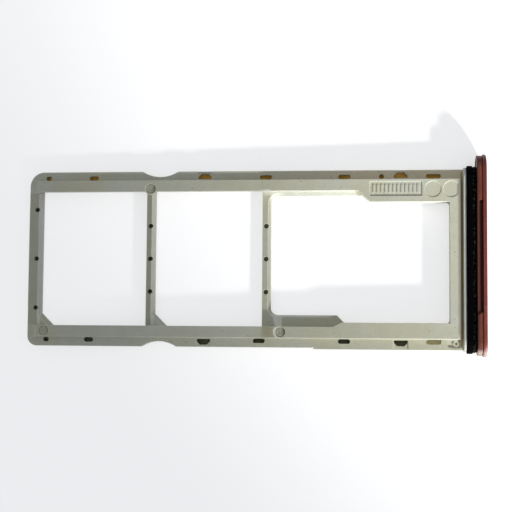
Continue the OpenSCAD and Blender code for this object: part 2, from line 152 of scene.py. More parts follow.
# %% [markdown]
# Choosing the edges that are moulded or worn round
#
# Only the edges that stand out catch the light. The inner corners stay crisp, as where two halves of
# a mould meet. Edges that touch make a chain: a long chain is an outline of the piece, and a short
# one is the rim of a window or a mould mark, which is much finer. Each edge's bevel weight says so.

# %% Mark the edges that stand out
HARD_DEGREES = 25
RIM_MM = 4.0
RIM_SHARE = 0.3


def chain_of(edge, outer):
    """All the outward edges that hang together with one edge."""
    chain = {edge}
    waiting = [edge]
    while waiting:
        for corner in waiting.pop().verts:
            for other in corner.link_edges:
                if other in outer and other not in chain:
                    chain.add(other)
                    waiting.append(other)
    return chain


def mark_outer_edges(piece):
    """Sets the bevel weight of the edges that stand out, in edit mode, and returns their number."""
    shape = bmesh.from_edit_mesh(piece.data)
    weight = shape.edges.layers.float.new("bevel_weight_edge")
    limit = math.radians(HARD_DEGREES)
    outer = {edge for edge in shape.edges if edge.calc_face_angle_signed(0.0) > limit}
    done = set()
    for edge in shape.edges:
        if edge not in outer or edge in done:
            continue
        chain = chain_of(edge, outer)
        length = sum(link.calc_length() for link in chain)
        share = 1.0 if length > RIM_MM * MM else RIM_SHARE
        for link in chain:
            link[weight] = share
        done |= chain
    bmesh.update_edit_mesh(piece.data)
    return len(outer)


# %% [markdown]
# Flats that shade flat
#
# A rounded edge looks right when the light turns only over the rounding and each flat keeps one even
# tone. So every corner of a flat gets the direction of its own flat, or of the curved wall that it is
# a strip of, and a rounding's corners take the direction of the flat that they touch.

# %% Point the shading along the flats
FLAT_SLOT = 0
ROUNDING_SLOT = 1
WALL_DEGREES = 25
ROUNDING_DEGREES = 50


def corner_direction(face, corner):
    """The direction that the light should see at one corner of a face."""
    rounding = face.material_index == ROUNDING_SLOT
    limit = math.cos(math.radians(ROUNDING_DEGREES if rounding else WALL_DEGREES))
    alike = [other for other in corner.link_faces if other.normal.dot(face.normal) > limit]
    flats = [other for other in alike if other.material_index == FLAT_SLOT]
    total = mathutils.Vector()
    for other in flats or alike:
        total += other.normal * other.calc_area()
    return total.normalized() if total.length > 0 else face.normal.copy()


def shade_along_flats(piece):
    """Sets the shading of a piece whose roundings are in their own slot, and notes where they are."""
    pick(piece)
    bpy.ops.object.shade_smooth()
    shape = bmesh.new()
    shape.from_mesh(piece.data)
    directions = [corner_direction(face, corner) for face in shape.faces for corner in face.verts]
    roundings = [float(face.material_index == ROUNDING_SLOT) for face in shape.faces]
    shape.free()
    piece.data.normals_split_custom_set(directions)
    edge_wear_and_highlight = piece.data.attributes.new("edge_wear_and_highlight", "FLOAT", "FACE")
    edge_wear_and_highlight.data.foreach_set("value", roundings)


# %% [markdown]
# Rounding a moulded piece
#
# No moulded or pressed edge is truly sharp: it has a radius of a few hundredths of a millimetre,
# which catches a thin line of light. The CAD solid leaves these out. The mesh is merged at its
# doubles, cut, and joined into whole flats, and then a bevel rounds each edge that stands out.

# %% Join the triangles and round the edges
DOUBLE = 0.001 * MM
FLAT_DEGREES = 0.6


def join_flats(piece, across, along):
    """Makes whole flats of the triangles, marks the outer edges, and returns their number."""
    pick(piece)
    bpy.ops.object.mode_set(mode="EDIT")
    bpy.ops.mesh.select_all(action="SELECT")
    bpy.ops.mesh.remove_doubles(threshold=DOUBLE)
    bpy.ops.mesh.normals_make_consistent(inside=False)
    cut_seams(ACROSS, across)
    cut_seams(ALONG, along)
    bpy.ops.mesh.select_all(action="SELECT")
    bpy.ops.mesh.dissolve_limited(angle_limit=math.radians(FLAT_DEGREES), delimit={"SEAM"})
    marked = mark_outer_edges(piece)
    bpy.ops.object.mode_set(mode="OBJECT")
    return marked


def round_edges(piece, edge_mm, steps):
    """Rounds the marked edges with a bevel, whose faces go into their own slot."""
    rounding = piece.modifiers.new("rounding", "BEVEL")
    rounding.width = edge_mm * MM
    rounding.segments = steps
    rounding.limit_method = "WEIGHT"
    rounding.use_clamp_overlap = False
    rounding.material = ROUNDING_SLOT
    apply_all(piece)


# %% [markdown]
# A copy that stands for its CAD node
#
# The CAD node itself is never changed: each rounded piece is made on a copy of its mesh. The rounding
# may push a corner out by a hair, so every point is brought back inside the node's own box. Then
# the piece is set to ride on the tray's one body, and the node that it stands for is hidden.

# %% Make a rounded copy of a CAD node
def keep_inside(piece, source):
    """Brings back any corner that the rounding pushed out past the flats of its CAD node."""
    places = [point.co for point in source.data.vertices]
    low = [min(place[axis] for place in places) for axis in range(3)]
    high = [max(place[axis] for place in places) for axis in range(3)]
    for point in piece.data.vertices:
        point.co = [min(max(value, a), b) for value, a, b in zip(point.co, low, high)]


def rounded_copy(node, name, edge_mm, steps, across=(), along=()):
    """A closed copy of a CAD node with its hard edges rounded. It replaces the node."""
    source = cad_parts[node]
    piece = bpy.data.objects.new(name, source.data.copy())
    bpy.context.scene.collection.objects.link(piece)
    piece.data.name = name
    piece.data.materials.clear()
    for empty_slot in (None, None):
        piece.data.materials.append(empty_slot)
    rounded = join_flats(piece, across, along)
    round_edges(piece, edge_mm, steps)
    keep_inside(piece, source)
    shade_along_flats(piece)
    piece.data.materials.clear()
    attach(piece, "root")
    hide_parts(node)
    print(name, "has", rounded, "rounded edges and", len(piece.data.polygons), "faces")
    return piece


# %% [markdown]
# The moulded tray
#
# On the real object one shot of glass-filled plastic makes the rails, the plate, the cross bars and
# the flange. Its edges have the mould's small radius, about 0.03 mm. The seams go through its
# windows and pockets, each at its distance from the tip, and along the middle line and the ribs.

# %% Round the tray
PAD_ON_TIP = 0.1
WINDOWS_FROM_TIP = (0.63, 1.46, 5.34, 10.35, 14.83, 19.83, 21.2, 26.37, 29.53, 30.94, 33.53, 35.35)
RIBS_Y = 5.35
MIDDLE_Y = -0.3
tip_x = tray_low[0] + PAD_ON_TIP
window_places = [tip_x + place for place in WINDOWS_FROM_TIP]
tray = rounded_copy(
    "tray_frame",
    "tray_moulding",
    edge_mm=0.03,
    steps=2,
    across=window_places,
    along=(MIDDLE_Y, RIBS_Y),
)

# %% [markdown]
# The rubber seal
#
# The seal is soft silicone, stretched over the neck, and its two lips are rounded as the plastic's
# edges are. One seam runs along its middle, and one through the relief for the eject pin.

# %% Round the seal
PIN_Y = 7.43
seal = rounded_copy("seal_ring", "seal_rubber", edge_mm=0.03, steps=2, along=(MIDDLE_Y, PIN_Y))

# %% [markdown]
# The door cap
#
# The cap is turned to the outside of the phone, so its edges are softened a little more and then
# painted. One more step in the bevel keeps the line of light on them smooth.

# %% Round the cap
cap = rounded_copy("door_cap", "cap_shell", edge_mm=0.035, steps=3, along=(MIDDLE_Y, PIN_Y))

# %% [markdown]
# A little shader language
#
# A finish is mostly arithmetic on patterns: take some noise, keep its high parts, mix two colours
# with the result. Written as nodes by hand that is long, so a small class wraps one socket and lets
# Python's own signs add the Math nodes.

# %% Wrap a socket so that it does arithmetic
class Wire:
    """One output of a node. Signs between wires and numbers add Math nodes."""

    def __init__(self, owner, socket):
        self.owner = owner
        self.socket = socket

    def _math(self, operation, first, second=0.0):
        settings = {"operation": operation}
        return self.owner.node("ShaderNodeMath", settings, {0: first, 1: second})

    def __add__(self, other):
        return self._math("ADD", self, other)

    def __sub__(self, other):
        return self._math("SUBTRACT", self, other)

    def __rsub__(self, other):
        return self._math("SUBTRACT", other, self)

    def __mul__(self, other):
        return self._math("MULTIPLY", self, other)

    def __abs__(self):
        return self._math("ABSOLUTE", self)

    __radd__ = __add__
    __rmul__ = __mul__


# %% [markdown]
# One method adds every node
#
# A material, and the world too, is a tree of nodes that is emptied first. The node method takes a
# node's type, its settings, and what goes into its sockets, either plain values or wires from other
# nodes. The two methods after it choose between two shaders by the kind of ray that asks.

# %% Describe a tree of nodes
class NodeTree:
    """The nodes of a material or of the world, and the one way to add a node."""

    def __init__(self, owner):
        owner.use_nodes = True
        self.tree = owner.node_tree
        self.tree.nodes.clear()

    def node(self, kind, settings=None, inputs=None, output=0):
        """Adds one node: its settings first, then its sockets' values or links."""
        made = self.tree.nodes.new(kind)
        for name, value in (settings or {}).items():
            setattr(made, name, value)
        for name, value in (inputs or {}).items():
            if isinstance(value, Wire):
                self.tree.links.new(value.socket, made.inputs[name])
            else:
                made.inputs[name].default_value = value
        return Wire(self, made.outputs[output]) if made.outputs else None

    def seen(self):
        """One for what is seen straight, in a reflection or through glass, and else zero."""
        straight = self.node("ShaderNodeLightPath", output="Is Camera Ray")
        mirrored = self.node("ShaderNodeLightPath", output="Is Glossy Ray")
        through = self.node("ShaderNodeLightPath", output="Is Transmission Ray")
        return straight + mirrored + through

    def choose(self, share, first, second):
        """A shader between two shaders."""
        return self.node("ShaderNodeMixShader", inputs={0: share, 1: first, 2: second})


# %% [markdown]
# A material that knows its place
#
# A finish is built on where a point lies on the object, in millimetres, so that a grain has its real
# size. Two patterns are enough here: soft clouds, which can be stretched into lines, and cells round
# scattered points, for specks and flakes. The rounded edges bring their own mark with the mesh.

# %% Describe places and patterns
class PlacedMaterial(NodeTree):
    """A material with its places and patterns. Lengths are in millimetres."""

    def __init__(self, name):
        self.material = bpy.data.materials.new(name)
        super().__init__(self.material)
        coordinates = self.node("ShaderNodeTexCoord", output="Object")
        scale = {"operation": "SCALE"}
        self.place = self.node("ShaderNodeVectorMath", scale, {0: coordinates, "Scale": 1 / MM})
        self.x = self.node("ShaderNodeSeparateXYZ", inputs={0: self.place}, output="X")
        self.y = self.node("ShaderNodeSeparateXYZ", inputs={0: self.place}, output="Y")
        self.z = self.node("ShaderNodeSeparateXYZ", inputs={0: self.place}, output="Z")

    def edges(self):
        """One on the rounded edges of a piece, and zero on its flats."""
        return self.node("ShaderNodeAttribute", {"attribute_name": "edge_wear_and_highlight"}, output="Fac")

    def noise(self, per_mm, detail=2.0, roughness=0.5, stretch=None):
        """Soft random patches, about per_mm of them to a millimetre."""
        where = self.place
        if stretch:
            settings = {"operation": "MULTIPLY"}
            where = self.node("ShaderNodeVectorMath", settings, {0: where, 1: stretch})
        inputs = {"Vector": where, "Scale": per_mm, "Detail": detail, "Roughness": roughness}
        return self.node("ShaderNodeTexNoise", inputs=inputs)

    def cells(self, per_mm):
        """Distance to the nearest of many scattered points."""
        return self.node("ShaderNodeTexVoronoi", inputs={"Vector": self.place, "Scale": per_mm})


# %% [markdown]
# Soft steps
#
# A stain, a gap or a polished rim starts and ends at a place, and never with a hard line. A ramp
# eases from one value to another, and a step or a band is made of ramps, so a mask for any mark
# of the mould is a product of a few of them.

# %% Describe steps and bands
class MaskedMaterial(PlacedMaterial):
    """A placed material with soft steps and bands."""

    def ramp(self, value, start, end, low=0.0, high=1.0):
        """Eases from low to high while a value goes from start to end."""
        settings = {"interpolation_type": "SMOOTHSTEP"}
        inputs = {"Value": value, "From Min": start, "From Max": end, "To Min": low, "To Max": high}
        return self.node("ShaderNodeMapRange", settings, inputs)

    def past(self, value, place, soft):
        """Zero before a place and one past it, with a step that is soft to either side."""
        return self.ramp(value, place - soft, place + soft)

    def before(self, value, place, soft):
        """One before a place and zero past it, with a step that is soft to either side."""
        return self.ramp(value, place + soft, place - soft)

    def band(self, value, start, end, soft):
        """One between start and end, and zero outside."""
        return self.past(value, start, soft) * self.before(value, end, soft)


# %% [markdown]
# Colour and relief
#
# A finish is a masked material with colours. Each mark is laid over what is there, as a maker adds
# paint or rubs an edge, and one surface shader ends it. A Mix node has a set of sockets for each
# kind of value, so the four numbers say where it keeps those for colours.

# %% Describe a finish
MIX_SHARE = 0
MIX_FIRST = 6
MIX_SECOND = 7
MIX_RESULT = 2


class Finish(MaskedMaterial):
    """A material with places, masks, colours and a relief."""

    def mix(self, share, first, second, blend="MIX"):
        """A colour between two colours."""
        settings = {"data_type": "RGBA", "blend_type": blend}
        inputs = {MIX_SHARE: share, MIX_FIRST: first, MIX_SECOND: second}
        return self.node("ShaderNodeMix", settings, inputs, MIX_RESULT)

    def over(self, colour, layers):
        """Lays more colours over one, in order: where each goes, how strongly, and its colour."""
        for where, strength, layer in layers:
            colour = self.mix(where * strength, colour, layer)
        return colour

    def tint(self, colour, amount):
        """A colour made lighter or darker by an amount that varies round one."""
        grey = self.node("ShaderNodeCombineXYZ", inputs={0: amount, 1: amount, 2: amount})
        return self.mix(1.0, colour, grey, "MULTIPLY")

    def bump(self, height_mm):
        """Normals for a relief of that height."""
        inputs = {"Strength": 1.0, "Distance": MM, "Height": height_mm}
        return self.node("ShaderNodeBump", inputs=inputs)

    def surface(self, inputs):
        """Ends the finish in one plain surface shader."""
        shader = self.node("ShaderNodeBsdfPrincipled", inputs=inputs, output="BSDF")
        self.node("ShaderNodeOutputMaterial", inputs={"Surface": shader})
        self.report("surface")

    def report(self, step):
        """Prints how many nodes the finish has after a step."""
        print(self.material.name, "after", step, "has", len(self.tree.nodes), "nodes")


# %% [markdown]
# Colours and unevenness
#
# A colour is easiest to judge on a screen, but a shader works in linear light, so one function goes
# from the one to the other. A second one turns a pattern into a small swing to both sides of
# zero, which is what a colour, a roughness or a relief is made uneven with.

# %% Turn screen colours to light, and patterns to swings
NOISE_MIDDLE = 0.5
FLAKE_MIDDLE = 0.4


def screen(red, green, blue):
    """A colour as it reads on a screen, from 0 to 255, turned into the linear light of a shader."""
    shares = [value / 255 for value in (red, green, blue)]
    light = [s / 12.92 if s <= 0.04045 else ((s + 0.055) / 1.055) ** 2.4 for s in shares]
    return (*light, 1.0)


def swing(pattern, depth, middle=NOISE_MIDDLE):
    """A pattern that goes up and down round zero, by about half its depth either way."""
    return (pattern - middle) * depth


print("a screen's mid grey is", round(screen(128, 128, 128)[0], 3), "in linear light")

# %% [markdown]
# The tray's plastic, from its places
#
# The plastic is a cream grey with glass fibre in it. Painted all over with one pattern it would look
# like a toy: on the real tray each light and dark mark sits at a place in the mould. So three
# measures come first, how far a point is from the tip, how far up from the middle line, and how high
# it lies, and each mark below is a step or a band on them.

# %% Measure along, across and above the tray
BODY_HALF = 0.6
BODY_TOP = 1.2
STRIP_TOP = 0.78
SHELF_TOP = 0.45
RAIL_INSIDE = 5.5

plastic = Finish("frame_plastic")
floor_of_body = (tray_low[2] + tray_high[2]) / 2 - BODY_HALF
from_tip = plastic.x - tip_x
upward = plastic.y - MIDDLE_Y
sideways = abs(upward)
height = plastic.z - floor_of_body
on_top = plastic.past(height, BODY_TOP - 0.075, soft=0.025)
under_rails = plastic.before(height, STRIP_TOP + 0.03, soft=0.01)
print("the tray's underside is", round(floor_of_body, 2), "mm up")

# %% [markdown]
# Clouds, grain and specks
#
# Seen close, the plastic is cloudy over several millimetres, mottled over one, and has the tight
# grain of a matt mould. A few dark specks lie in it. Its rounded edges are lighter: partly rubbed,
# and partly given a painted highlight.

# %% Make the plastic's own unevenness
cloud = plastic.noise(per_mm=0.22)
mottle = plastic.noise(per_mm=1.3, detail=3.0)
grain = plastic.noise(per_mm=7.0, detail=3.0, roughness=0.6)
patchy = plastic.ramp(mottle, start=0.25, end=0.6, low=0.5, high=1.0)
speck = plastic.before(plastic.cells(per_mm=1.05), 0.06, soft=0.015)
# rounded edges: partly rubbed wear, partly a painted highlight
edge_wear_and_highlight = plastic.edges() * patchy
plastic.report("clouds and grain")

# %% [markdown]
# A joint of the mould, and a darker patch
#
# Where the memory card's shelf begins, the mould has a joint that leaves a fine brown line on the
# rails. On the lower rail the plastic just past it is darker and browner, and fades back over a
# millimetre.

# %% Place the joint and the darker patch
SHELF_STEP = 19.63
PATCH_END = 20.7

joint = plastic.band(from_tip, SHELF_STEP - 0.02, SHELF_STEP + 0.05, soft=0.03)
joint = joint * plastic.past(sideways, RAIL_INSIDE + 0.05, soft=0.05) * on_top
on_lower_rail = plastic.before(upward, -RAIL_INSIDE, soft=0.05)
# a darker, browner patch on the lower rail just past the joint
darker_patch = plastic.past(from_tip, SHELF_STEP, soft=0.03)
darker_patch = darker_patch * plastic.before(from_tip, PATCH_END, soft=0.55)
darker_patch = darker_patch * on_lower_rail * patchy * on_top
plastic.report("joint and stain")

# %% [markdown]
# The gap before the flange
#
# The plate ends in a rounded edge with a painted highlight, laid over the flange's cast shadow there.
# Then comes a narrow deep gap with a painted brown shade, and then the flange plate, which is a
# little whiter. The upper strip outside the rail lies low in the rail's shadow and gets a painted
# warm light that grows towards the door.

# %% Place the gap, the flange and the warm strip
PLATE_END = 35.73
PLATE_RIM = 0.17
FLANGE_START = 35.93
GAP_REACH = 7.075
RAIL_FOOT = 6.375
WARM_START = 17.0
WARM_END = 30.0

# painted brown shade in the deep gap before the flange
gap_painted_shade = plastic.band(from_tip, PLATE_END, FLANGE_START - 0.02, soft=0.03)
gap_painted_shade = gap_painted_shade * plastic.before(sideways, GAP_REACH, soft=0.075)
# painted highlight on the plate's rounded end, over the flange's cast shadow
plate_edge_painted_highlight = plastic.band(from_tip, PLATE_END - PLATE_RIM, PLATE_END, soft=0.02) * on_top
flange = plastic.past(from_tip, FLANGE_START + 0.005, soft=0.025)
# painted warm light on the low upper strip, which lies in the rail's shadow
strip_painted_warm_light = plastic.past(upward, RAIL_FOOT, soft=0.025) * under_rails
strip_painted_warm_light = strip_painted_warm_light * plastic.ramp(from_tip, WARM_START, WARM_END)
strip_painted_warm_light = strip_painted_warm_light * plastic.ramp(from_tip, FLANGE_START, PLATE_END)
plastic.report("gap and flange")

# %% [markdown]
# The cross bars
#
# Each cross bar has a flat, which lies low and is dull, and a slope towards the door that shines. The
# lamp gives part of that. The rest is painted: a painted shade goes on the flats and a painted
# highlight on the slopes, each row with its start, its end and its strength.

# %% Place the flats and slopes of the cross bars
BAR_FLATS = ((0.0, 0.79, 0.3), (10.0, 10.42, 0.55))
BAR_SLOPES = ((0.79, 1.07, 0.45), (10.42, 10.72, 0.35))

between_rails = plastic.before(sideways, RAIL_INSIDE - 0.025, soft=0.025) * under_rails


def on_bars(stretches):
    """The stretches of the cross bars between the rails, each as strong as its row says."""
    total = 0.0
    for start, end, strength in stretches:
        total = total + plastic.band(from_tip, start, end, soft=0.02) * between_rails * strength
    return total


# painted shade on the bar flats and painted highlight on their slopes
bar_painted_shade = on_bars(BAR_FLATS)
bar_painted_highlight = on_bars(BAR_SLOPES)
plastic.report("cross bars")

# %% [markdown]
# The mouth of the memory card's pocket
#
# The low walls and ledges round the opening face the lamp, and a painted highlight makes them much
# paler than the plate. The mask starts a little earlier in the upper corner, follows the step
# in the outline where the card's nose goes, and fades out towards the lower ledge.

# %% Place the mouth's painted highlight
MOUTH_START = 20.2
MOUTH_END = 34.8
MOUTH_DULL_Y = -4.9
MOUTH_BRIGHT_Y = -2.5
CORNER_RUN = 1.2
NOSE_START = 27.0
NOSE_END = 27.7

corner_low = RAIL_INSIDE - 0.3
corner_high = RAIL_INSIDE - 0.1
mouth_start = plastic.ramp(upward, corner_low, corner_high, MOUTH_START, MOUTH_START - CORNER_RUN)
wide_side = RAIL_INSIDE + 0.2
narrow_side = RAIL_INSIDE - 0.5
mouth_side = plastic.ramp(from_tip, NOSE_START, NOSE_END, wide_side, narrow_side)
# painted highlight on the walls and ledges round the memory card's opening
mouth = plastic.ramp(from_tip, mouth_start, MOUTH_START + 0.2)
mouth = mouth * plastic.ramp(from_tip, MOUTH_END, MOUTH_END - 0.5)
mouth = mouth * plastic.ramp(upward, MOUTH_DULL_Y, MOUTH_BRIGHT_Y)
mouth = mouth * plastic.before(upward - mouth_side, 0.0, soft=0.04)
mouth = mouth * plastic.ramp(height, BODY_TOP - 0.005, BODY_TOP - 0.04)
plastic.report("mouth")

# %% [markdown]
# The lower ledge's bright outline
#
# The ledge under the opening lies dull in the lower rail's shadow. Its rim along the opening and
# the little ramp at its start face the light and get a painted highlight.

# %% Place the ledge's rim and ramp
RAMP_START = 20.4
RAMP_END = 21.25
LEDGE_END = 25.4
LEDGE_RIM_Y = -4.62

low_ledge = plastic.band(from_tip, RAMP_START, LEDGE_END, soft=0.06)
low_ledge = low_ledge * plastic.before(height, SHELF_TOP - 0.01, soft=0.01)
rim_line = plastic.band(upward, LEDGE_RIM_Y - 0.15, LEDGE_RIM_Y + 0.1, soft=0.05)
on_ramp = plastic.before(from_tip, RAMP_END, soft=0.05)
on_ramp = on_ramp * plastic.band(upward, -RAIL_INSIDE - 0.1, LEDGE_RIM_Y + 0.2, soft=0.05)
# painted highlight on the ledge's rim and on its ramp
ledge_painted_highlight = plastic.ramp(low_ledge * rim_line + low_ledge * on_ramp, 0.0, 1.0) * patchy
plastic.report("lower ledge")

# %% [markdown]
# The gates
#
# A gate is where the plastic was shot in and then broken off. Round each one the mould leaves a
# ring. Its side to the tip gets a painted highlight and its side to the door a painted shade. Each
# row has the gate's place and how plain its ring is. A ring's side is a distance band times a soft
# half.

# %% Place a crescent on either side of each gate
GATES = ((1.46, -5.98, 0.35), (10.35, 5.8, 0.8), (21.2, -5.98, 1.0))
GATE_RIM = 0.38
RING_WIDTH = 0.2
TO_THE_TIP = -1
TO_THE_DOOR = 1


def crescent(middle, inner, outer, way):
    """One on the side of a ring that lies to the tip or to the door, as way says."""
    flat = plastic.node("ShaderNodeCombineXYZ", inputs={0: from_tip, 1: upward})
    settings = {"operation": "DISTANCE"}
    away = plastic.node("ShaderNodeVectorMath", settings, {0: flat, 1: (*middle, 0.0)}, "Value")
    side = plastic.ramp((from_tip - middle[0]) * way, 0.0, outer)
    return plastic.band(away, inner, outer, soft=0.04) * side


# painted highlight on each ring's side to the tip, painted shade on its side to the door
gate_painted_highlight = 0.0
gate_painted_shade = 0.0
for along, up, plainness in GATES:
    rim = crescent((along, up), GATE_RIM, GATE_RIM + RING_WIDTH * plainness, TO_THE_TIP)
    pit = crescent((along, up), GATE_RIM - RING_WIDTH, GATE_RIM, TO_THE_DOOR)
    gate_painted_highlight = gate_painted_highlight + rim * plainness * on_top
    gate_painted_shade = gate_painted_shade + pit * plainness
plastic.report("gates")

# %% [markdown]
# Mixing the plastic
#
# The two creams are mixed by the cloud, and then each mark is laid over them in turn: the plastic's
# own tones first, with the painted warm light on the upper strip and the painted shade in the gap,
# then the darker patch, joint and specks, then the worn edges with their painted highlight, and last
# the painted shade and highlights on the bars, gates, mouth, plate edge and ledge.

# %% Mix the plastic's colour and finish it
CREAM = screen(206, 207, 190)
WARM_CREAM = screen(203, 201, 177)

body = plastic.mix(plastic.ramp(cloud, start=0.35, end=0.7), CREAM, WARM_CREAM)
body = plastic.over(body, (
    (flange, 1.0, screen(206, 207, 198)),
    (strip_painted_warm_light, 0.9, screen(232, 218, 186)),
    (gap_painted_shade, 0.9, screen(188, 158, 104)),
    (darker_patch, 0.6, screen(150, 140, 108)),
    (joint, 0.4, screen(128, 124, 98)),
    (speck, 0.45, screen(118, 108, 84)),
    (edge_wear_and_highlight, 0.85, screen(240, 242, 230)),
    (bar_painted_shade, 1.0, screen(150, 148, 128)),
    (bar_painted_highlight, 1.0, screen(252, 253, 246)),
    (gate_painted_highlight, 0.9, screen(252, 252, 242)),
    (gate_painted_shade, 0.75, screen(70, 66, 46)),
    (mouth, 0.65, screen(250, 252, 243)),
    (plate_edge_painted_highlight, 0.85, screen(255, 246, 222)),
    (ledge_painted_highlight, 0.8, screen(250, 251, 240)),
))
brightness = 1.0 + swing(cloud, depth=0.12) + swing(mottle, depth=0.14) + swing(grain, depth=0.26)
plastic.surface({
    "Base Color": plastic.tint(body, brightness),
    "Roughness": 0.46 - edge_wear_and_highlight * 0.1 + swing(grain, depth=0.25),
    "Normal": plastic.bump(swing(grain, depth=0.010) + swing(mottle, depth=0.012)),
    "Specular IOR Level": 0.3,
})
tray.data.materials.append(plastic.material)

# %% [markdown]
# The steel insert
#
# A flat steel stamping lies inside the plastic. It shows only at the bottom of the little round
# windows and slots. It is dull rolled steel, and its colour there carries painted light and shade:
# dark olive, the steel's own dull tone with painted shade, in most of the deep windows, a painted
# golden brown light in the ones of the upper strip, and a painted pale light in the last slot before
# the door. The fine lines of the rolling run along it, so its noise is stretched that way.

# %% Finish the steel
ROLLING = (0.12, 1.0, 1.0)
LIT_STRIP_START_Y = 5.0
LIT_STRIP_END_Y = 6.0
PALE_START = 32.2
PALE_END = 32.6

steel = Finish("insert_steel")
rolled = steel.noise(per_mm=5.0, detail=3.0, roughness=0.6, stretch=ROLLING)
tone_patches = steel.ramp(steel.noise(per_mm=1.1), start=0.35, end=0.7)
# golden brown: painted warm light in the windows of the upper strip
golden = steel.mix(tone_patches, screen(176, 138, 56), screen(150, 112, 30))
# dark olive: the steel's dull tone darkened as painted shade for the deep windows
olive = steel.mix(tone_patches, screen(62, 66, 40), screen(44, 46, 20))
# painted pale light in the last slot before the door, painted golden light on the upper strip
window_light_and_shade = steel.over(olive, (
    (steel.ramp(steel.x - tip_x, PALE_START, PALE_END), 1.0, screen(186, 178, 132)),
    (steel.ramp(steel.y, LIT_STRIP_START_Y, LIT_STRIP_END_Y), 1.0, golden),
))
steel.surface({
    "Base Color": steel.tint(window_light_and_shade, 1.0 + swing(rolled, depth=0.4)),
    "Metallic": 0.6,
    "Roughness": 0.5 + swing(rolled, depth=0.3),
    "Normal": steel.bump(swing(rolled, depth=0.006)),
})
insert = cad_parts["steel_insert"]
insert.data.materials.clear()
insert.data.materials.append(steel.material)

# %% [markdown]
# The seal's rubber
#
# Silicone is nearly black and takes dust. Grey specks of it lie in a dotted line along the seal's
# second, lower lip, where fingers and pockets rub. Its skin is so dull that it hardly reflects.

# %% Finish the rubber
LIP_START = 0.5
LIP_END = 0.72

rubber = Finish("seal_rubber")
skin = rubber.noise(per_mm=6.0, detail=3.0, roughness=0.6)
on_lip = rubber.band(rubber.x, seal_low[0] + LIP_START, seal_low[0] + LIP_END, soft=0.04)
dust = rubber.ramp(rubber.noise(per_mm=7.5), start=0.55, end=0.66) * on_lip
rubber.surface({
    "Base Color": rubber.over(screen(3, 3, 3), ((dust, 0.38, screen(120, 126, 124)),)),
    "Roughness": 0.62 + swing(skin, depth=0.3),
    "Normal": rubber.bump(swing(skin, depth=0.008)),
    "Specular IOR Level": 0.02,
})
seal.data.materials.append(rubber.material)

# %% [markdown]
# The cap's paint, from its places
#
# The front plate carries a coral metallic paint with fine flakes. The back step is browner and
# duller, and between the two runs a groove. The two round ends, the domes, look away from the light
# or into it, and carry a painted shade and a painted highlight.

# %% Measure the cap's step, groove, slot and domes
CAP_STEP = 0.47
DOME = 0.45

paint = Finish("cap_paint")
step_x = cap_low[0] + CAP_STEP
top_z = cap_high[2]
on_front = paint.past(paint.x, step_x - 0.005, soft=0.025)
on_back = 1.0 - on_front
in_groove = paint.band(paint.x, step_x - 0.075, step_x + 0.01, soft=0.015)
in_slot = paint.before(paint.z, top_z - 0.27, soft=0.03) * on_back
# painted shade on the upper dome, which faces away from the lamp
upper_dome_painted_shade = paint.past(paint.y, cap_high[1] - DOME + 0.025, soft=0.075)
# painted highlight on the lower dome, which faces the lamp
lower_dome_painted_highlight = paint.before(paint.y, cap_low[1] + DOME + 0.075, soft=0.225)
lower_dome_painted_highlight = lower_dome_painted_highlight * paint.ramp(paint.z, top_z - 2.1, top_z - 0.5)
print("the cap's step is", round(CAP_STEP, 2), "mm from its back")

# %% [markdown]
# The slot's shaded side and its cut
#
# The slot in the cap's upper side ends in a slanted cut. The narrow wall along the slot and the edge
# of the cut lie in shade and get a painted shade, and the cut's roughness is raised to dim its
# highlight. The slant is measured as a distance from the cut's line.

# %% Place the cut and the slot's side
CUT_Y = -4.66
CUT_SLOPE = 0.467
SLOT_END_Y = 4.35
WALL_START = 0.15
WALL_END = 0.26

slant = paint.y - CUT_Y - (paint.x - cap_low[0]) * CUT_SLOPE
near_top = paint.past(paint.z, top_z - 0.55, soft=0.05)
# painted shade along the cut's edge, with its highlight dimmed by roughness
cut = paint.band(slant, -0.14, 0.05, soft=0.03) * on_back * near_top
# painted shade on the narrow wall along the slot
slot_side_painted_shade = paint.band(paint.x, cap_low[0] + WALL_START, cap_low[0] + WALL_END, soft=0.03)
slot_side_painted_shade = slot_side_painted_shade * paint.past(slant, 0.03, soft=0.03)
slot_side_painted_shade = slot_side_painted_shade * paint.before(paint.y, SLOT_END_Y - 0.05, soft=0.05) * near_top
paint.report("slot and cut")

# %% [markdown]
# Spraying the cap
#
# The coral drifts a little, and a painted shade deepens it towards the far end. At the back the tone
# is browner, and a painted shade for the seal's shadow darkens the lip next to the seal. Groove, slot
# and domes are laid over these with their painted light and shade, and the front's rounded edges
# last, partly worn paint and partly a painted highlight. A thin clear coat lies on the front alone.

# %% Mix the cap's colour and finish it
flakes = paint.cells(per_mm=11.0)
drift = paint.ramp(paint.noise(per_mm=0.9), start=0.3, end=0.7)
# painted shade towards the far end of the cap
far_end_painted_shade = paint.ramp(paint.y, start=-5.0, end=6.0)
# painted shade on the lip next to the seal, for the seal's shadow
lip_painted_shade = paint.ramp(paint.x, cap_low[0] + 0.26, cap_low[0] + 0.1)
coral = paint.mix(drift, screen(125, 49, 42), screen(138, 63, 57))
coral = paint.over(coral, ((far_end_painted_shade, 0.8, screen(106, 31, 20)),))
# the back step's browner, duller tone
back_tone = paint.mix(drift, screen(128, 68, 52), screen(112, 58, 43))
back_tone = paint.over(back_tone, ((lip_painted_shade, 0.75, screen(80, 50, 38)),))
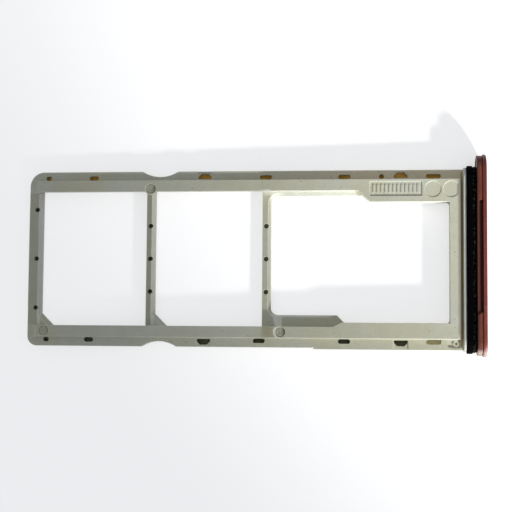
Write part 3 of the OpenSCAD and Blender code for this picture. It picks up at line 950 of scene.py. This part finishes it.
# laid over: a rust red standing for the groove's look in shade, painted shade in the slot, on its
# side and on the cut, painted shade on the upper dome, a painted highlight on the lower dome, and on
# the front's edges partly worn paint, partly a painted highlight
colour = paint.over(back_tone, (
    (on_front, 1.0, coral),
    (in_groove, 1.0, screen(150, 52, 32)),
    (in_slot, 1.0, screen(84, 18, 4)),
    (slot_side_painted_shade, 0.8, screen(58, 22, 12)),
    (cut, 0.9, screen(40, 12, 8)),
    (upper_dome_painted_shade, 0.8, screen(84, 32, 40)),
    (lower_dome_painted_highlight, 0.5, screen(255, 232, 222)),
    (paint.edges() * on_front, 0.3, screen(196, 122, 112)),
))
paint.surface({
    "Base Color": paint.tint(colour, 0.86 + swing(flakes, 0.45, FLAKE_MIDDLE)),
    "Metallic": 0.12 * on_front + 0.04,
    "Roughness": 0.36 + cut * 0.5 + swing(flakes, 0.2, FLAKE_MIDDLE),
    "Normal": paint.bump(swing(flakes, 0.005, FLAKE_MIDDLE)),
    "Coat Weight": on_front * 0.2,
    "Coat Roughness": 0.22,
    "Specular IOR Level": 0.25,
})
cap.data.materials.append(paint.material)

# %% [markdown]
# The floor
#
# The tray lies on a plain pale floor. It touches it with the lower edge of the door cap and with
# its tip, because the cap is thicker than the tray, so the floor slopes up a little to the tip.

# %% Lay the floor under the cap's edge and the tip
FLOOR_SIDE = 900.0
FLOOR_GAP = 0.01
TIP_LIFT = 0.35

contact_x = step_x
tip_z = tray_low[2] + TIP_LIFT
slope = math.atan2(tip_z, contact_x - tray_low[0])
bpy.ops.object.select_all(action="DESELECT")
bpy.ops.mesh.primitive_plane_add(size=FLOOR_SIDE * MM)
floor = bpy.context.active_object
floor.name = "floor"
floor.rotation_euler = (0.0, slope, 0.0)
floor.location = (contact_x * MM, 0.0, -FLOOR_GAP * MM)
print("the floor slopes", round(math.degrees(slope), 2), "degrees")

# %% [markdown]
# A floor that photographs as white
#
# A white sheet under soft light reads as pale grey. The floor keeps its true colour for the light
# that it throws back at the tray. Only what is seen of it, straight, in a reflection or through
# glass, is lifted, so the tray gets no more light and the shadow stays.

# %% Colour the floor
FLOOR_LIFT = 0.58
WHITE = (1.0, 1.0, 1.0, 1.0)

sheet_material = bpy.data.materials.new("floor_sheet")
sheet = NodeTree(sheet_material)
lit = sheet.node("ShaderNodeBsdfDiffuse", inputs={"Color": screen(236, 236, 236)})
glow = sheet.node("ShaderNodeEmission", inputs={"Color": WHITE, "Strength": FLOOR_LIFT})
both = sheet.node("ShaderNodeAddShader", inputs={0: lit, 1: glow})
shown = sheet.choose(sheet.seen(), lit, both)
sheet.node("ShaderNodeOutputMaterial", inputs={"Surface": shown})
floor.data.materials.append(sheet_material)
print("floor_sheet has", len(sheet.tree.nodes), "nodes")

# %% [markdown]
# The lamp
#
# The light comes low from the lower right, close enough that the door end is brighter than the tip,
# and shadows fall to the upper left. One spot lamp does that. Its beam is narrow and its edge is
# soft, so the light falls off along the tray, and it is a little warm.

# %% Set the lamp
LAMP_PLACE = (139.5, -180.0, 95.6)
LAMP_AIM = (16.6, 4.5, 1.0)
LAMP_RADIUS_MM = 15
BEAM_DEGREES = 10.4
BEAM_SOFTNESS = 1.0
LAMP_WATTS = 4.0
LAMP_COLOUR = (1.0, 0.98, 0.94)

bpy.ops.object.select_all(action="DESELECT")
bpy.ops.object.light_add(type="SPOT", location=[value * MM for value in LAMP_PLACE])
lamp = bpy.context.active_object
lamp.name = "window_light"
lamp.data.shadow_soft_size = LAMP_RADIUS_MM * MM
lamp.data.spot_size = math.radians(BEAM_DEGREES)
lamp.data.spot_blend = BEAM_SOFTNESS
lamp.data.energy = LAMP_WATTS
lamp.data.color = LAMP_COLOUR
ray = mathutils.Vector([aim - place for aim, place in zip(LAMP_AIM, LAMP_PLACE)])
lamp.rotation_euler = ray.to_track_quat("-Z", "Y").to_euler()
print("lamp at", LAMP_PLACE, "mm")

# %% [markdown]
# The room
#
# A pale world fills the shadows with a dim, slightly blue light. What is seen of it, straight, in a
# reflection or through glass, is a pale backdrop instead, which gives no light of its own.

# %% Set the world
FILL_STRENGTH = 0.37

world = bpy.data.worlds.new("pale_room")
bpy.context.scene.world = world
room = NodeTree(world)
fill = room.node(
    "ShaderNodeBackground",
    inputs={"Color": screen(234, 239, 247), "Strength": FILL_STRENGTH},
)
backdrop = room.node("ShaderNodeBackground", inputs={"Color": screen(240, 241, 243)})
view = room.choose(room.seen(), fill, backdrop)
room.node("ShaderNodeOutputWorld", inputs={"Surface": view})
bpy.context.scene.view_settings.view_transform = "Standard"
print("pale_room has", len(room.tree.nodes), "nodes")
